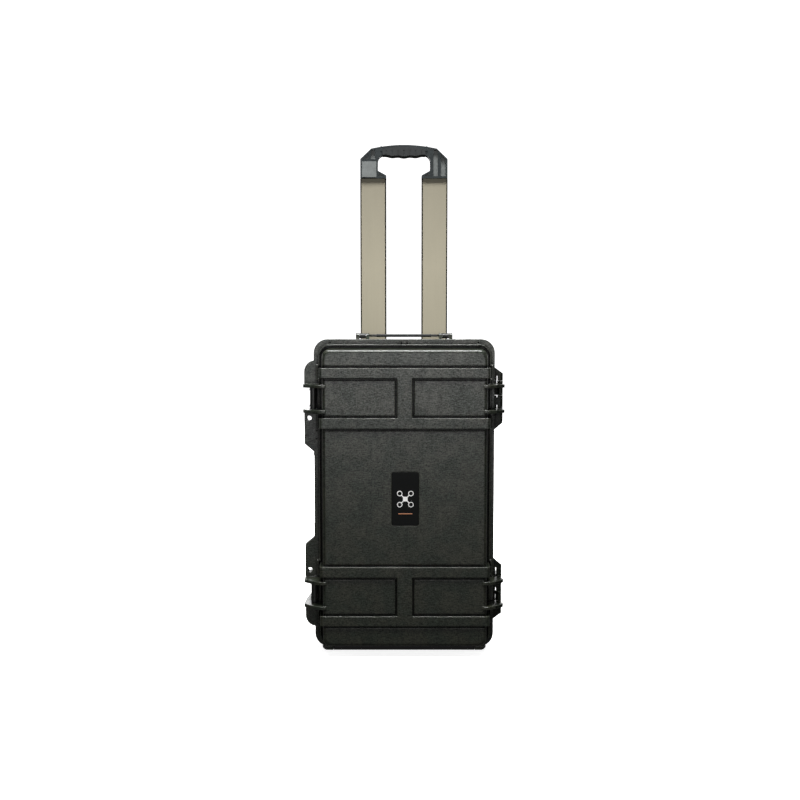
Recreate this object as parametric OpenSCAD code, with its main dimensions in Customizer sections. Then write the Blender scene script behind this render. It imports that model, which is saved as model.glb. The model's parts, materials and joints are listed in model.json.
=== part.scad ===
// Rolling protector case for a drone, standing on its wheel end with the
// trolley handle drawn out. The lid faces -Y, the case stands along +Z, the
// hinges are at +X and the latches at -X. All sizes are in millimetres.
//
// Most modules draw in the case frame: x = 0 on the middle of the flange,
// y = 0 on the lid's front, z = 0 on the floor. in_case() moves that frame
// so that the whole case is centred on the origin.

/* [Case] */
// Width of the closed flange, left to right
flange_w = 313; // [311:1:315]
// Height of the closed flange
flange_h = 541; // [537:1:543]
// Corner radius of the flange
flange_r = 24; // [20:1:28]
// Depth of the case, from the lid's front to the wheels' back
case_d = 229; // [228:1:232]
// Depth of the lid with its flange
lid_d = 50; // [48:1:52]
// Wall thickness of both shells
wall = 4.5; // [4:0.5:5]
// Height of the flange's lower edge over the floor
flange_lift = 8; // [7:1:10]
// Thickness of each shell's flange
flange_t = 8; // [7:0.5:9]

/* [Lid relief] */
// How far the raised bands stand out of the lid
band_rise = 5.6; // [4:0.2:6]
// How far the flat pads stand out of the lid
pad_rise = 3; // [2:0.2:3.4]
// Width of the grooves around the pads
groove_w = 4.2; // [2:0.1:5]
// Width of the upright bar between the small pads
bar_w = 25; // [20:0.5:30]
// Width of the label plate
label_w = 45.5; // [30:0.5:60]
// Height of the label plate
label_h = 90.6; // [60:0.2:110]

/* [Latches and hinges] */
// Width of each latch
latch_w = 37; // [34:0.5:37.6]
// Radius of the latch pins
latch_pin_r = 2.5; // [2:0.1:3]
// Radius of the hinge pins
hinge_pin_r = 2.2; // [1.8:0.1:2.4]
// Radius of the hinge knuckles
knuckle_r = 4.6; // [4.4:0.1:5]
// Radius of the padlock holes
padlock_r = 4.35; // [3:0.05:5]

/* [Trolley] */
// How far the trolley handle is drawn out
lift = 350; // [300:10:350]
// Width of each tube
tube_w = 49; // [46:0.5:50]
// Thickness of each tube, front to back
tube_t = 14; // [12:0.5:15]
// Gap between the two tubes
tube_gap = 66; // [64:0.5:70]
// Thickness of the yoke, front to back
yoke_t = 22; // [20:0.5:23]

/* [Wheels] */
// Radius of the wheels
wheel_r = 25; // [24:0.5:26]
// Width of the wheels
wheel_w = 22; // [18:0.5:24]
// Radius of the wheel axles
axle_r = 4; // [3:0.1:5]

/* [Hidden] */

// Overall placing
left_reach = 173.4;
right_reach = 171.8;
case_x = (left_reach - right_reach) / 2;
mid_z = flange_lift + flange_h / 2;
seam = 0.2;
run_gap = 0.06;
slip = 0.4;
far = 400;

// Lid dome: the root is at the flange, the front is drafted and rounded
dome_x = 0.8;
dome_z = -2.75;
dome_w = 285.6;
dome_h = 515.4;
dome_r = 14;
dome_draft = 1.5;
dome_round = 6;
end_band = [204.9, 221.9];
inner_band = [119, 137];
// The lip that runs around the dome on the lid's flange, with a groove inside it
lip_out = 6.4;
lip_w = 2.2;
lip_y = 36;
lip_band_out = 4.6;
// Seal between the two flanges
seal_w = 296.4;
seal_h = 527;
seal_r = 18;
seal_t = 3;
pad_half_w = 136;
label_x = 1.7;
label_z = -1.2;

// Base body
base_w = 292;
base_h = 520;
base_r = 22;
base_draft = 2.5;
base_back = 198;
base_round = 10;
band_wrap = 5;

// Left wings, padlock flanges and ribs, given by their distance from mid height
wing_x = -173.2;
wing_from = 190.9;
wing_turn = 214;
wing_end = 234;
padlock_far = 147.7;
padlock_near = 89;
padlock_root = 75;
padlock_x = -165;
padlock_z = 133.7;
rib_t = 5.4;
rib_places = [147.7, 190.9];
latch_z = 169.3;
latch_bay = 37.8;

// Latch pins: the upper one is in the lid's ribs, the lower one joins body and lever
latch_pivot = [-157.4, 38];
lever_pivot = [-158.5, 66];
latch_hub_r = 5.6;
lever_pin_r = 1.8;
lever_hub_r = 5;
lever_hub_w = 21;
keeper_x = -152;

// Hinge
hinge_x = 166.8;
hinge_block = [126, 211];
hinge_foot = [113, 222];
lid_knuckles = [[126, 144.4], [151, 172.8], [199, 211]];
base_knuckles = [[144.9, 150.5], [173.3, 198.5]];
lid_web = [lid_d - knuckle_r, lid_d - seam];
base_web = [lid_d + seam, lid_d + knuckle_r];
// Slits between the flange and the knuckles, from mid height
slit_x = [160.4, 161.9];
slits = [[194, 207], [169.5, 173.2], [151, 156.5], [-143.5, -130], [-172.8, -166], [-187.5, -179]];

// Fold-down handles, drawn in a frame on the wall that they are fixed to
handle_half = 80;
handle_arm = 12;
handle_t = 4.4;
handle_hub_r = 4.6;
grip_half = [50, 2.6];
handle_pivot_y = 100;
handle_end_y = 172;
handle_bar = 20;
lug_t = 5.6;
handle_pin_r = 2.5;
top_handle_h = 16.8;
front_handle_h = 12.6;

// Trolley
tube_y = 214;
tube_in = tube_gap / 2;
tube_out = tube_in + tube_w;
tube_x = (tube_in + tube_out) / 2;
tube_wall = 1.6;
yoke_low = 497 + lift;
yoke_high = yoke_low + 61.4;
yoke_half = tube_out - 0.5;
tongue = 27;
tube_low = 94 + lift;
shoe_h = 52;
guide_z = [474, 494];
channel_half = 90;
channel_low = 14;
cover_t = 3;
button_travel = 4;
button_half = 12;
button_low = yoke_low + 59.8;
well_floor = yoke_low + 53.8;
bar_top = yoke_low + 53;
bar_h = 2.8;
release_x = 57;
release_r = 2;
lock_z = 134 + lift;
rivet_r = 1.3;
rivet_proud = 0.25;
lock_r = 3;
lock_len = 14;

// Yoke outline, measured from the yoke's lower edge
yoke_chamfer = [61.3, 35.6, 54.6];
yoke_open_half = 48.75;
yoke_open_top = 44;
yoke_open_r = 13;
yoke_ear = [5.5, 14];
grip_reach = 41;
grip_t = 3;
finger_line = [1.4, 0.8];

// Wheels
wheel_x = 125;
wheel_y = case_d - wheel_r;
well_r = 28;
well_half = 13.5;
housing_wall = 5.5;

// Foam
foam_clear = 0.5;
insert_y = [51, 165.5];
pad_y = [165.5, 187];
drone_pocket = [0, 405, 210, 190];
charger_pocket = [88, 232, 62, 108];
remote_pocket = [-38, 232, 150, 108];
battery_pockets = [[-86, 104, 62, 100], [0, 104, 62, 100], [86, 104, 62, 100]];

// Toe and foot rail at the lower end
toe_y = [58, 84];
toe_front = 44.5;
toe_lip = 7.4;
toe_half = 144.5;
toe_h = 32;
toe_r = 9;
foot_half = 124.6;
foot_top = 17.5;

// Valve
valve_y = 100;
valve_z = mid_z - 118;
valve_x = -base_w / 2 + 0.6;

// ---- outlines and frames ----

function arc_pts(cx, cy, r, from, to, n = 8) =
    [for (i = [0:n]) let (a = from + (to - from) * i / n) [cx + r * cos(a), cy + r * sin(a)]];

function rr_pts(w, h, r, n = 8) = concat(
    arc_pts(w / 2 - r, h / 2 - r, r, 0, 90, n),
    arc_pts(-w / 2 + r, h / 2 - r, r, 90, 180, n),
    arc_pts(-w / 2 + r, -h / 2 + r, r, 180, 270, n),
    arc_pts(w / 2 - r, -h / 2 + r, r, 270, 360, n));

module in_case() translate([case_x, -case_d / 2, 0]) children();

// Both ends of the case, which mirror each other about mid height
module both_ends() {
    for (flip = [0, 1])
        translate([0, 0, mid_z]) mirror([0, 0, flip]) children();
}

// One end of the case: "upper" or "lower"
module one_end(end) translate([0, 0, mid_z]) mirror([0, 0, end == "lower" ? 1 : 0]) children();

// A left or right copy of something drawn on the right
module one_side(side) mirror([side == "left" ? 1 : 0, 0, 0]) children();

// A sheet that lies across the depth: its outline is in x and z
module slab(y0, y1, z = mid_z) translate([0, y1, z]) rotate([90, 0, 0]) linear_extrude(y1 - y0) children();

// A sheet that lies across the height: its outline is in x and y
module shelf(z0, z1) translate([0, 0, z0]) linear_extrude(z1 - z0) children();

// A sheet that lies across the width: its outline is in y and z
module plank(x0, x1) translate([x0, 0, 0]) rotate([90, 0, 90]) linear_extrude(x1 - x0) children();

module block(lo, hi) translate(lo) cube(hi - lo);

module rod_x(x0, x1, y, z, r) translate([x0, y, z]) rotate([0, 90, 0]) cylinder(h = x1 - x0, r = r, $fn = 48);

module rod_y(y0, y1, x, z, r)
    translate([x, y0, z]) rotate([-90, 0, 0]) cylinder(h = y1 - y0, r = r, $fn = 48);

module rod_z(z0, z1, x, y, r) translate([x, y, z0]) cylinder(h = z1 - z0, r = r, $fn = 48);

// A drafted box with one rounded face: the root is at y_root, the rounded face at y_face
module rounded_dome(w, h, r, y_root, y_face, round_r, draft) {
    way = y_face > y_root ? 1 : -1;
    thin = 0.05;
    hull() {
        slab(min(y_root, y_root + way * thin), max(y_root, y_root + way * thin))
            polygon(rr_pts(w, h, r));
        for (i = [0:4])
            let (
                a = 90 * i / 4,
                inset = draft + round_r * (1 - cos(a)),
                y = y_face - way * (thin + round_r * (1 - sin(a)))
            )
            slab(min(y, y + way * thin), max(y, y + way * thin))
                polygon(rr_pts(w - 2 * inset, h - 2 * inset, max(r - inset / 2, 2)));
    }
}

// ---- outlines shared by the two shells ----

// The padlock flange and the corner wing on the latch side, above mid height
module left_wing_2d() {
    polygon([
        [-flange_w / 2 + 6, padlock_root - 6],
        [-flange_w / 2, padlock_root],
        [wing_x, padlock_near],
        [wing_x, padlock_far],
        [-flange_w / 2 + 6, padlock_far]
    ]);
    polygon(concat(
        [[-flange_w / 2 + 6, wing_from], [wing_x, wing_from]],
        [for (i = [0:8])
            let (t = 90 * i / 8)
            [wing_x + (-flange_w / 2 - wing_x + 2) * (1 - cos(t)),
                wing_turn + (wing_end - wing_turn) * sin(t)]],
        [[-flange_w / 2 + 6, wing_end + 4]]));
}

// A shell's flange with its wings: everything but the hinge side's knuckles
module flange(y0, y1) {
    slab(y0, y1) polygon(rr_pts(flange_w, flange_h, flange_r));
    both_ends() slab(y0, y1, 0) left_wing_2d();
}

// Ribs at both ends, above mid height, from a profile in x and y
module ribs() {
    for (z = rib_places)
        shelf(z - rib_t / 2, z + rib_t / 2) children();
}

// The gap in a flange between a latch's two ribs
module latch_bay_cut(y0, y1) block([-left_reach - 1, y0, latch_z - latch_bay / 2],
    [keeper_x, y1, latch_z + latch_bay / 2]);

module padlock_holes(y0, y1) {
    for (z = [-padlock_z, padlock_z])
        rod_y(y0, y1, padlock_x, mid_z + z, padlock_r);
}

module knuckles(spans, web_y) {
    for (s = spans) {
        rod_z(s[0], s[1], hinge_x, lid_d, knuckle_r);
        block([flange_w / 2 - 6, min(web_y), s[0]], [hinge_x, max(web_y), s[1]]);
    }
}

// Small gaps between the flange and the knuckles
module knuckle_slits() {
    for (s = slits)
        block([slit_x[0], 0, mid_z + s[0]], [slit_x[1], 100, mid_z + s[1]]);
}

// ---- lid ----

module lid_rib_left_2d() polygon([
    [-132, 7], [-134.5, 1], [-142, 0.3], [-151, 3.6], [-163, 11.4], [-172.4, 20], [-left_reach, 23],
    [-left_reach, 27], [-172.6, lid_d - seam], [-141, lid_d - seam], [-136, 12]
]);

module lid_rib_right_2d() polygon([
    [133, 7], [135.5, 1], [143, 0.3], [151, 3.4], [161, 10.4], [170.8, 19.4], [right_reach, 22.5],
    [right_reach, 26], [164, 43], [156, lid_d - seam], [142, lid_d - seam], [138, 12]
]);

module lid_gusset_2d() {
    polygon([
        [150, 100], [flange_w / 2, hinge_foot[0]],
        [hinge_x + knuckle_r, hinge_block[0]], [150, hinge_block[0]]
    ]);
    polygon([
        [150, hinge_block[1]], [hinge_x + knuckle_r, hinge_block[1]],
        [flange_w / 2, hinge_foot[1]], [150, 230]
    ]);
}

// Areas of the lid's front, as outlines in x and z measured from mid height
module bands_2d() {
    for (flip = [0, 1])
        mirror([0, flip]) {
            for (b = [end_band, inner_band])
                translate([-far / 2, b[0]]) square([far, b[1] - b[0]]);
            translate([-bar_w / 2, inner_band[0]]) square([bar_w, end_band[1] - inner_band[0]]);
        }
}

module pads_2d() {
    g = groove_w;
    square([2 * pad_half_w, 2 * (inner_band[0] - g)], center = true);
    for (flip = [0, 1])
        mirror([0, flip]) {
            translate([-far / 2, end_band[1] + g]) square([far, 80]);
            for (side = [0, 1])
                mirror([side, 0])
                    translate([bar_w / 2 + g, inner_band[1] + g])
                        square([far, end_band[0] - inner_band[1] - 2 * g]);
        }
}

module lid_outer(extra, y_face) {
    translate([dome_x, 0, dome_z])
        rounded_dome(dome_w + 2 * extra, dome_h, dome_r, lid_d - 4, y_face, dome_round, dome_draft);
}

// The dome's outline with its bands, grown by one amount and the bands by another
module lip_outline_2d(grow, band_grow) {
    translate([0, dome_z]) polygon(rr_pts(dome_w + 2 * grow, dome_h + 2 * grow, dome_r + grow));
    intersection() {
        square([dome_w + 2 * (band_wrap + band_grow), dome_h], center = true);
        for (flip = [0, 1])
            mirror([0, flip])
                for (b = [end_band, inner_band])
                    translate([-far / 2, b[0] - band_grow]) square([far, b[1] - b[0] + 2 * band_grow]);
    }
}

// The lip on the flange, a little outside the dome and its bands
module dome_lip() translate([dome_x, 0, 0]) slab(lip_y, lid_d - 4) difference() {
    lip_outline_2d(lip_out, lip_band_out);
    lip_outline_2d(lip_out - lip_w, lip_band_out - lip_w);
}

module lid_shell() color([0.16, 0.17, 0.155]) in_case() difference() {
    union() {
        lid_outer(0, band_rise);
        intersection() {
            lid_outer(0, band_rise - pad_rise);
            translate([dome_x, 0, 0]) slab(0, lid_d) pads_2d();
        }
        intersection() {
            lid_outer(band_wrap, 0);
            translate([dome_x, 0, 0]) slab(0, lid_d) bands_2d();
        }
        flange(lid_d - flange_t, lid_d - seam);
        dome_lip();
        both_ends() {
            ribs() lid_rib_left_2d();
            ribs() lid_rib_right_2d();
            knuckles(lid_knuckles, lid_web);
            slab(lid_web[0], lid_web[1], 0) lid_gusset_2d();
        }
    }
    // the hollow that holds the lid's foam
    translate([dome_x, 0, dome_z])
        rounded_dome(dome_w - 2 * wall, dome_h - 2 * wall, dome_r - wall, lid_d + 1, band_rise + wall,
            dome_round - 3, dome_draft);
    // seal groove
    slab(lid_d - 3.6, lid_d) seal_ring_2d(0.5);
    // recess of the label plate
    slab(0, band_rise - pad_rise + 0.8, mid_z + label_z)
        translate([label_x, 0]) polygon(rr_pts(label_w + 2, label_h + 2, 4));
    padlock_holes(0, lid_d + 1);
    both_ends() {
        rod_z(hinge_block[0] - 1, hinge_block[1] + 1, hinge_x, lid_d, hinge_pin_r + run_gap);
        rod_z(rib_places[0] - 8, rib_places[1] + 8, latch_pivot[0], latch_pivot[1], latch_pin_r + 0.02);
        latch_bay_cut(lid_d - flange_t - 1, lid_d + 1);
    }
    knuckle_slits();
    lid_edge_notches();
}

// Small marks moulded in the flange: a pair of notches at the top, a pin mark by each corner
module lid_edge_notches() {
    for (x = [-5, 5])
        slab(lid_d - flange_t - 1, lid_d - flange_t + 2, 0)
            polygon([[x - 2.4, flange_lift + flange_h - 9], [x + 2.4, flange_lift + flange_h - 9],
                [x, flange_lift + flange_h - 4]]);
    for (x = [-128, 128])
        rod_y(lid_d - flange_t - 1, lid_d - flange_t + 1.5, x, flange_lift + flange_h - 6, 1.3);
    for (z = [390, 376])
        rod_y(lid_d - flange_t - 1, lid_d - flange_t + 1.5, -flange_w / 2 + 4, z, 1.3);
}

// The seal's ring, grown on both sides
module seal_ring_2d(grow) difference() {
    polygon(rr_pts(seal_w + 2 * grow, seal_h + 2 * grow, seal_r + grow));
    polygon(rr_pts(seal_w - 2 * seal_t - 2 * grow, seal_h - 2 * seal_t - 2 * grow, seal_r - seal_t - grow));
}

module lid_gasket() color([0.05, 0.05, 0.05]) in_case() slab(lid_d - 3.5, lid_d - 0.05) seal_ring_2d(0);

module lid_foam() color([0.2, 0.2, 0.21]) in_case() translate([dome_x, 0, dome_z])
    slab(band_rise + wall + 0.3, lid_d - 0.4)
        polygon(rr_pts(dome_w - 2 * wall - 10, dome_h - 2 * wall - 10, dome_r - wall));

module label_plate() color([0.03, 0.035, 0.04]) in_case()
    slab(band_rise - pad_rise - 0.4, band_rise - pad_rise + 0.8, mid_z + label_z)
        translate([label_x, 0]) polygon(rr_pts(label_w, label_h, 3));

// A plain four-rotor pictogram and a short rule under it
module label_mark() color([0.75, 0.42, 0.22]) in_case()
    slab(band_rise - pad_rise - 0.8, band_rise - pad_rise - 0.4, mid_z + label_z)
        translate([label_x, 0]) {
            arm = 9.5;
            for (a = [45:90:315])
                rotate(a) {
                    translate([0, -0.7]) square([arm, 1.4]);
                    translate([arm + 4, 0]) difference() {
                        circle(r = 4.6, $fn = 48);
                        circle(r = 3.4, $fn = 48);
                    }
                }
            square([8, 8], center = true);
            translate([-12, -26]) square([24, 1.2]);
        }

// ---- hinges and latches ----

module hinge_pin(end) color([0.55, 0.55, 0.56]) in_case() one_end(end)
    rod_z(hinge_block[0] + 0.5, hinge_block[1] - 0.5, hinge_x, lid_d, hinge_pin_r);

module latch_pin(end) color([0.55, 0.55, 0.56]) in_case() one_end(end)
    rod_z(rib_places[0] - rib_t / 2 + 0.5, rib_places[1] + rib_t / 2 - 0.5,
        latch_pivot[0], latch_pivot[1], latch_pin_r);

module lever_pin(end) color([0.55, 0.55, 0.56]) in_case() one_end(end)
    rod_z(latch_z - latch_w / 2 + 0.5, latch_z + latch_w / 2 - 0.5,
        lever_pivot[0], lever_pivot[1], lever_pin_r);

// The half of the latch that hangs on the lid
module latch_body(end) color([0.10, 0.105, 0.10]) in_case() one_end(end) difference() {
    z0 = latch_z - latch_w / 2;
    z1 = latch_z + latch_w / 2;
    union() {
        rod_z(z0, z1, latch_pivot[0], latch_pivot[1], latch_hub_r);
        shelf(z0, z1) polygon([
            [-163, 38], [-153, 38], [-153, 60], [-154.2, 64], [-162.6, 64], [-163.6, 57], [-163.6, 44]
        ]);
        rod_z(z0, z1, lever_pivot[0], lever_pivot[1], lever_hub_r - 0.4);
        for (z = [latch_z - 14, latch_z + 14])
            shelf(z - 1.5, z + 1.5) polygon([[-162.6, 42], [-162.6, 60], [-164.6, 57], [-164.6, 45]]);
    }
    // room for the lever's hub and nose
    block([-180, 55.6, latch_z - lever_hub_w / 2 - slip], [-150, 80, latch_z + lever_hub_w / 2 + slip]);
    rod_z(z0 - 1, z1 + 1, latch_pivot[0], latch_pivot[1], latch_pin_r + run_gap);
    rod_z(z0 - 1, z1 + 1, lever_pivot[0], lever_pivot[1], lever_pin_r + 0.02);
}

// The half of the latch that hooks behind the base's flange
module latch_lever(end) color([0.10, 0.105, 0.10]) in_case() one_end(end) difference() {
    hub0 = latch_z - lever_hub_w / 2;
    hub1 = latch_z + lever_hub_w / 2;
    union() {
        rod_z(hub0, hub1, lever_pivot[0], lever_pivot[1], lever_hub_r);
        shelf(hub0, hub1) polygon([
            [-163, 69], [-163, 74], [-155, 74], [-153.8, 65.5], [-149.6, 61.6], [-149.6, 58.6],
            [-152.4, 58.6], [-157, 62.6]
        ]);
        shelf(latch_z - latch_w / 2, latch_z + latch_w / 2) polygon([
            [-163.4, 72], [-154, 72], [-155, 80], [-159.6, 89], [-165, 94], [-167.4, 93], [-164, 84]
        ]);
    }
    rod_z(hub0 - 1, hub1 + 1, lever_pivot[0], lever_pivot[1], lever_pin_r + run_gap);
    // finger grooves on the tab
    for (y = [77, 81])
        block([-172, y, latch_z - 14], [-163, y + 1.6, latch_z + 14]);
}

// ---- base ----

module base_rib_left_2d() polygon([
    [-172.6, lid_d + seam], [-172, 62], [-166, 106], [-157, 122], [-141, 134], [-141, lid_d + seam]
]);

module base_rib_right_2d() polygon([
    [141, lid_d + seam], [158.6, lid_d + seam], [161, 56.6], [170.8, 58], [170.8, 64], [165, 84],
    [156, 100], [141, 110]
]);

module base_outer(extra) {
    rounded_dome(base_w + 2 * extra, base_h + 2 * extra, base_r,
        lid_d + seam, base_back, base_round, base_draft);
}

// The long box on the back that the tubes run down into
module channel_box() {
    inner = channel_half - wall;
    difference() {
        block([-channel_half, base_back - 6, channel_low], [channel_half, case_d - cover_t, guide_z[1]]);
        block([-inner, base_back, channel_low + wall], [inner, case_d, guide_z[1] + 1]);
    }
}

// The base's lower edge: it carries the rubber rail and ends in a rounded corner at each side.
// Under the flanges it reaches forward as a thin lip.
module toe() {
    slab(toe_y[0], toe_y[1], 0) toe_2d();
    slab(toe_front, toe_y[0] + 1, 0) intersection() {
        toe_2d();
        translate([-toe_half, 0]) square([2 * toe_half, toe_lip]);
    }
}

module toe_2d() difference() {
    translate([0, 0.4 + toe_h / 2]) polygon(rr_pts(2 * toe_half, toe_h, toe_r));
    translate([-foot_half - slip, 0]) square([2 * (foot_half + slip), foot_top]);
}

// Skid rails and cross ribs beside the channel
module skid_rails() {
    for (side = [0, 1])
        mirror([side, 0, 0]) {
            for (x = [99, 118])
                plank(x, x + 6) polygon([
                    [base_back - 8, 66], [base_back, 66], [224, 90],
                    [224, 506], [210, 526], [base_back - 8, 526]
                ]);
            for (z = [112:72:472])
                block([channel_half - 2, base_back - 4, z], [120, 216, z + 4]);
        }
}

module wheel_housing() {
    x0 = wheel_x - well_half - housing_wall;
    x1 = wheel_x + well_half + housing_wall;
    plank(x0, x1) polygon([
        [166, 20], [172, 12], [210, 12], [217, 20], [217, 48], [208, 60], [166, 60]
    ]);
}

module wheel_well() {
    x0 = wheel_x - well_half;
    x1 = wheel_x + well_half;
    rod_x(x0, x1, wheel_y, wheel_r, well_r);
    block([x0, wheel_y - well_r, -1], [x1, wheel_y + well_r + 1, wheel_r]);
    block([x0, wheel_y, -1], [x1, wheel_y + well_r + 1, wheel_r + well_r]);
    rod_x(x0 - 10, x1 + 10, wheel_y, wheel_r, axle_r + 0.02);
}

// Lugs on a wall for a fold-down handle, in the handle's frame
module handle_lugs(h) {
    for (side = [0, 1])
        mirror([side, 0, 0])
            for (x = [handle_half + slip, handle_half - handle_arm - slip - lug_t])
                plank(x, x + lug_t) {
                    polygon([
                        [handle_pivot_y - 12, -2.5], [handle_pivot_y + 12, -2.5],
                        [handle_pivot_y + 4.6, h], [handle_pivot_y - 4.6, h]
                    ]);
                    translate([handle_pivot_y, h]) circle(r = 4.8, $fn = 48);
                }
}

module handle_pin_holes(h, r) {
    for (side = [0, 1])
        mirror([side, 0, 0])
            rod_x(handle_half - handle_arm - slip - lug_t - 0.01, handle_half + slip + lug_t + 0.01,
                handle_pivot_y, h, r);
}

// Frames of the two handles: on the top end, and on the latch side's wall
module on_top() in_case() translate([0, 0, mid_z + base_h / 2 - 1]) children();

module on_front() in_case() translate([-base_w / 2 + 1, 0, mid_z]) rotate([0, -90, 0]) children();

module base_shell() color([0.15, 0.16, 0.145]) difference() {
    union() {
        in_case() difference() {
            union() {
                base_outer(0);
                intersection() {
                    base_outer(band_wrap);
                    slab(lid_d + seam, base_back - 14) for (flip = [0, 1])
                        mirror([0, flip]) for (b = [end_band, inner_band])
                            translate([-far / 2, b[0]]) square([far, b[1] - b[0]]);
                }
                flange(lid_d + seam, lid_d + flange_t);
                toe();
                channel_box();
                skid_rails();
                both_ends() {
                    ribs() base_rib_left_2d();
                    ribs() base_rib_right_2d();
                    knuckles(base_knuckles, base_web);
                }
            }
            // the hollow of the base
            rounded_dome(base_w - 2 * wall, base_h - 2 * wall, base_r - wall, lid_d - 1, base_back - wall,
                base_round - 3, base_draft);
            padlock_holes(lid_d - 1, lid_d + 30);
            both_ends() {
                rod_z(hinge_block[0] - 1, hinge_block[1] + 1, hinge_x, lid_d, hinge_pin_r + 0.02);
                latch_bay_cut(lid_d - 1, lid_d + flange_t + 1);
            }
            knuckle_slits();
        }
        in_case() for (side = ["left", "right"]) one_side(side) wheel_housing();
        on_top() handle_lugs(top_handle_h);
        on_front() handle_lugs(front_handle_h);
        in_case() rod_x(valve_x - 6, valve_x + 3, valve_y, valve_z, 15);
    }
    in_case() {
        for (side = ["left", "right"]) one_side(side) wheel_well();
        rod_x(valve_x - 8, valve_x + 10, valve_y, valve_z, 9.02);
        cover_screw_holes(1.6);
    }
    on_top() handle_pin_holes(top_handle_h, handle_pin_r + 0.02);
    on_front() handle_pin_holes(front_handle_h, handle_pin_r + 0.02);
}

// A rubber rail along the lower end, between the ends of the toe
module foot_rail() color([0.04, 0.04, 0.04]) in_case() difference() {
    plank(-foot_half, foot_half) polygon([
        [toe_front + 1, 0], [toe_y[1] - 3, 0], [toe_y[1], 4], [toe_y[1], foot_top],
        [toe_y[0] + 0.5, foot_top], [toe_y[0] + 0.5, toe_lip],
        [toe_front - 0.5, toe_lip], [toe_front - 0.5, 1.5]
    ]);
    for (x = [-105:30:105])
        block([x - 1, toe_front + 3, -1], [x + 1, toe_y[1] + 1, 1.6]);
}

// ---- fold-down handles ----

module handle_frame(h) difference() {
    union() {
        translate([0, 0, h - handle_t / 2]) linear_extrude(handle_t) difference() {
            union() {
                translate([0, (handle_pivot_y + handle_end_y) / 2])
                    polygon(rr_pts(2 * handle_half, handle_end_y - handle_pivot_y, 20));
                for (side = [0, 1])
                    mirror([side, 0])
                        translate([handle_half - handle_arm, handle_pivot_y]) square([handle_arm, 30]);
            }
            translate([0, (handle_pivot_y - 30 + handle_end_y - handle_bar) / 2])
                polygon(rr_pts(2 * (handle_half - handle_arm),
                    handle_end_y - handle_bar - handle_pivot_y + 30, 10));
        }
        for (side = [0, 1])
            mirror([side, 0, 0])
                rod_x(handle_half - handle_arm, handle_half, handle_pivot_y, h, handle_hub_r);
    }
    handle_pin_holes(h, handle_pin_r + run_gap);
}

// The soft sleeve on the handle's bar
module handle_grip(h) {
    over = 2.4;
    y0 = handle_end_y - handle_bar - over;
    y1 = handle_end_y + over;
    translate([0, 0, h]) difference() {
        plank(-grip_half[0], grip_half[0]) polygon([
            [y0, -grip_half[1] + 1.6], [y0 + 2, -grip_half[1]], [y1 - 2, -grip_half[1]],
            [y1, -grip_half[1] + 1.6], [y1, grip_half[1] - 1.6], [y1 - 2, grip_half[1]],
            [y0 + 2, grip_half[1]], [y0, grip_half[1] - 1.6]
        ]);
        block([-60, handle_end_y - handle_bar, -handle_t / 2], [60, handle_end_y, handle_t / 2]);
        // shallow finger grooves
        for (x = [-36:12:36])
            block([x - 1.2, y0 - 1, -10], [x + 1.2, y0 + 0.8, 10]);
    }
}

module handle_pins(h) {
    for (side = [0, 1])
        mirror([side, 0, 0])
            rod_x(handle_half - handle_arm - slip - lug_t + 0.3, handle_half + slip + lug_t - 0.3,
                handle_pivot_y, h, handle_pin_r);
}

module front_handle_frame() color([0.12, 0.125, 0.12]) on_front() handle_frame(front_handle_h);

module front_handle_grip() color([0.07, 0.07, 0.07]) on_front() handle_grip(front_handle_h);

module front_handle_pins() color([0.55, 0.55, 0.56]) on_front() handle_pins(front_handle_h);

module top_handle_frame() color([0.12, 0.125, 0.12]) on_top() handle_frame(top_handle_h);

module top_handle_grip() color([0.07, 0.07, 0.07]) on_top() handle_grip(top_handle_h);

module top_handle_pins() color([0.55, 0.55, 0.56]) on_top() handle_pins(top_handle_h);

// ---- trolley ----

module tube_section(grow) polygon(rr_pts(tube_w + 2 * grow, tube_t + 2 * grow, max(4 + grow, 0.5), 6));

module trolley_tube(side) color([0.62, 0.60, 0.52]) in_case() one_side(side) difference() {
    translate([tube_x, tube_y, 0]) shelf(tube_low, yoke_low) difference() {
        tube_section(0);
        tube_section(-tube_wall);
    }
    rivet_holes(rivet_r);
    rod_x(tube_out - 4, tube_out + 1, tube_y, lock_z, lock_r + run_gap);
}

module rivet_holes(r) {
    for (x = [tube_in + 6.5, tube_out - 6.5])
        rod_y(tube_y - tube_t / 2 - 1, tube_y - tube_t / 2 + 5, x, yoke_low - 8, r);
}

module trolley_rivets() color([0.7, 0.7, 0.68]) in_case()
    for (side = ["left", "right"])
        one_side(side)
            for (x = [tube_in + 6.5, tube_out - 6.5]) {
                rod_y(tube_y - tube_t / 2, tube_y - tube_t / 2 + 4.9, x, yoke_low - 8, rivet_r - 0.02);
                rod_y(tube_y - tube_t / 2 - rivet_proud, tube_y - tube_t / 2, x, yoke_low - 8, rivet_r + 0.5);
            }

module yoke_outer_2d() {
    chord = yoke_chamfer[0];
    rise = yoke_high - yoke_low - yoke_chamfer[2];
    arch_r = (chord * chord + rise * rise) / (2 * rise);
    top = yoke_high - yoke_low;
    half_angle = asin(chord / arch_r);
    polygon(concat(
        [[-yoke_half, 0], [yoke_half, 0], [yoke_half, yoke_chamfer[1]]],
        arc_pts(0, top - arch_r, arch_r, 90 - half_angle, 90 + half_angle, 16),
        [[-yoke_half, yoke_chamfer[1]]]));
}

module yoke_opening_2d() {
    r = yoke_open_r;
    half = yoke_open_half;
    polygon(concat(
        [[tube_in, -1], [tube_in, yoke_ear[0]], [half, yoke_ear[1]]],
        arc_pts(half - r, yoke_open_top - r, r, 0, 90),
        arc_pts(-half + r, yoke_open_top - r, r, 90, 180),
        [[-half, yoke_ear[1]], [-tube_in, yoke_ear[0]], [-tube_in, -1]]));
}

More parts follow.
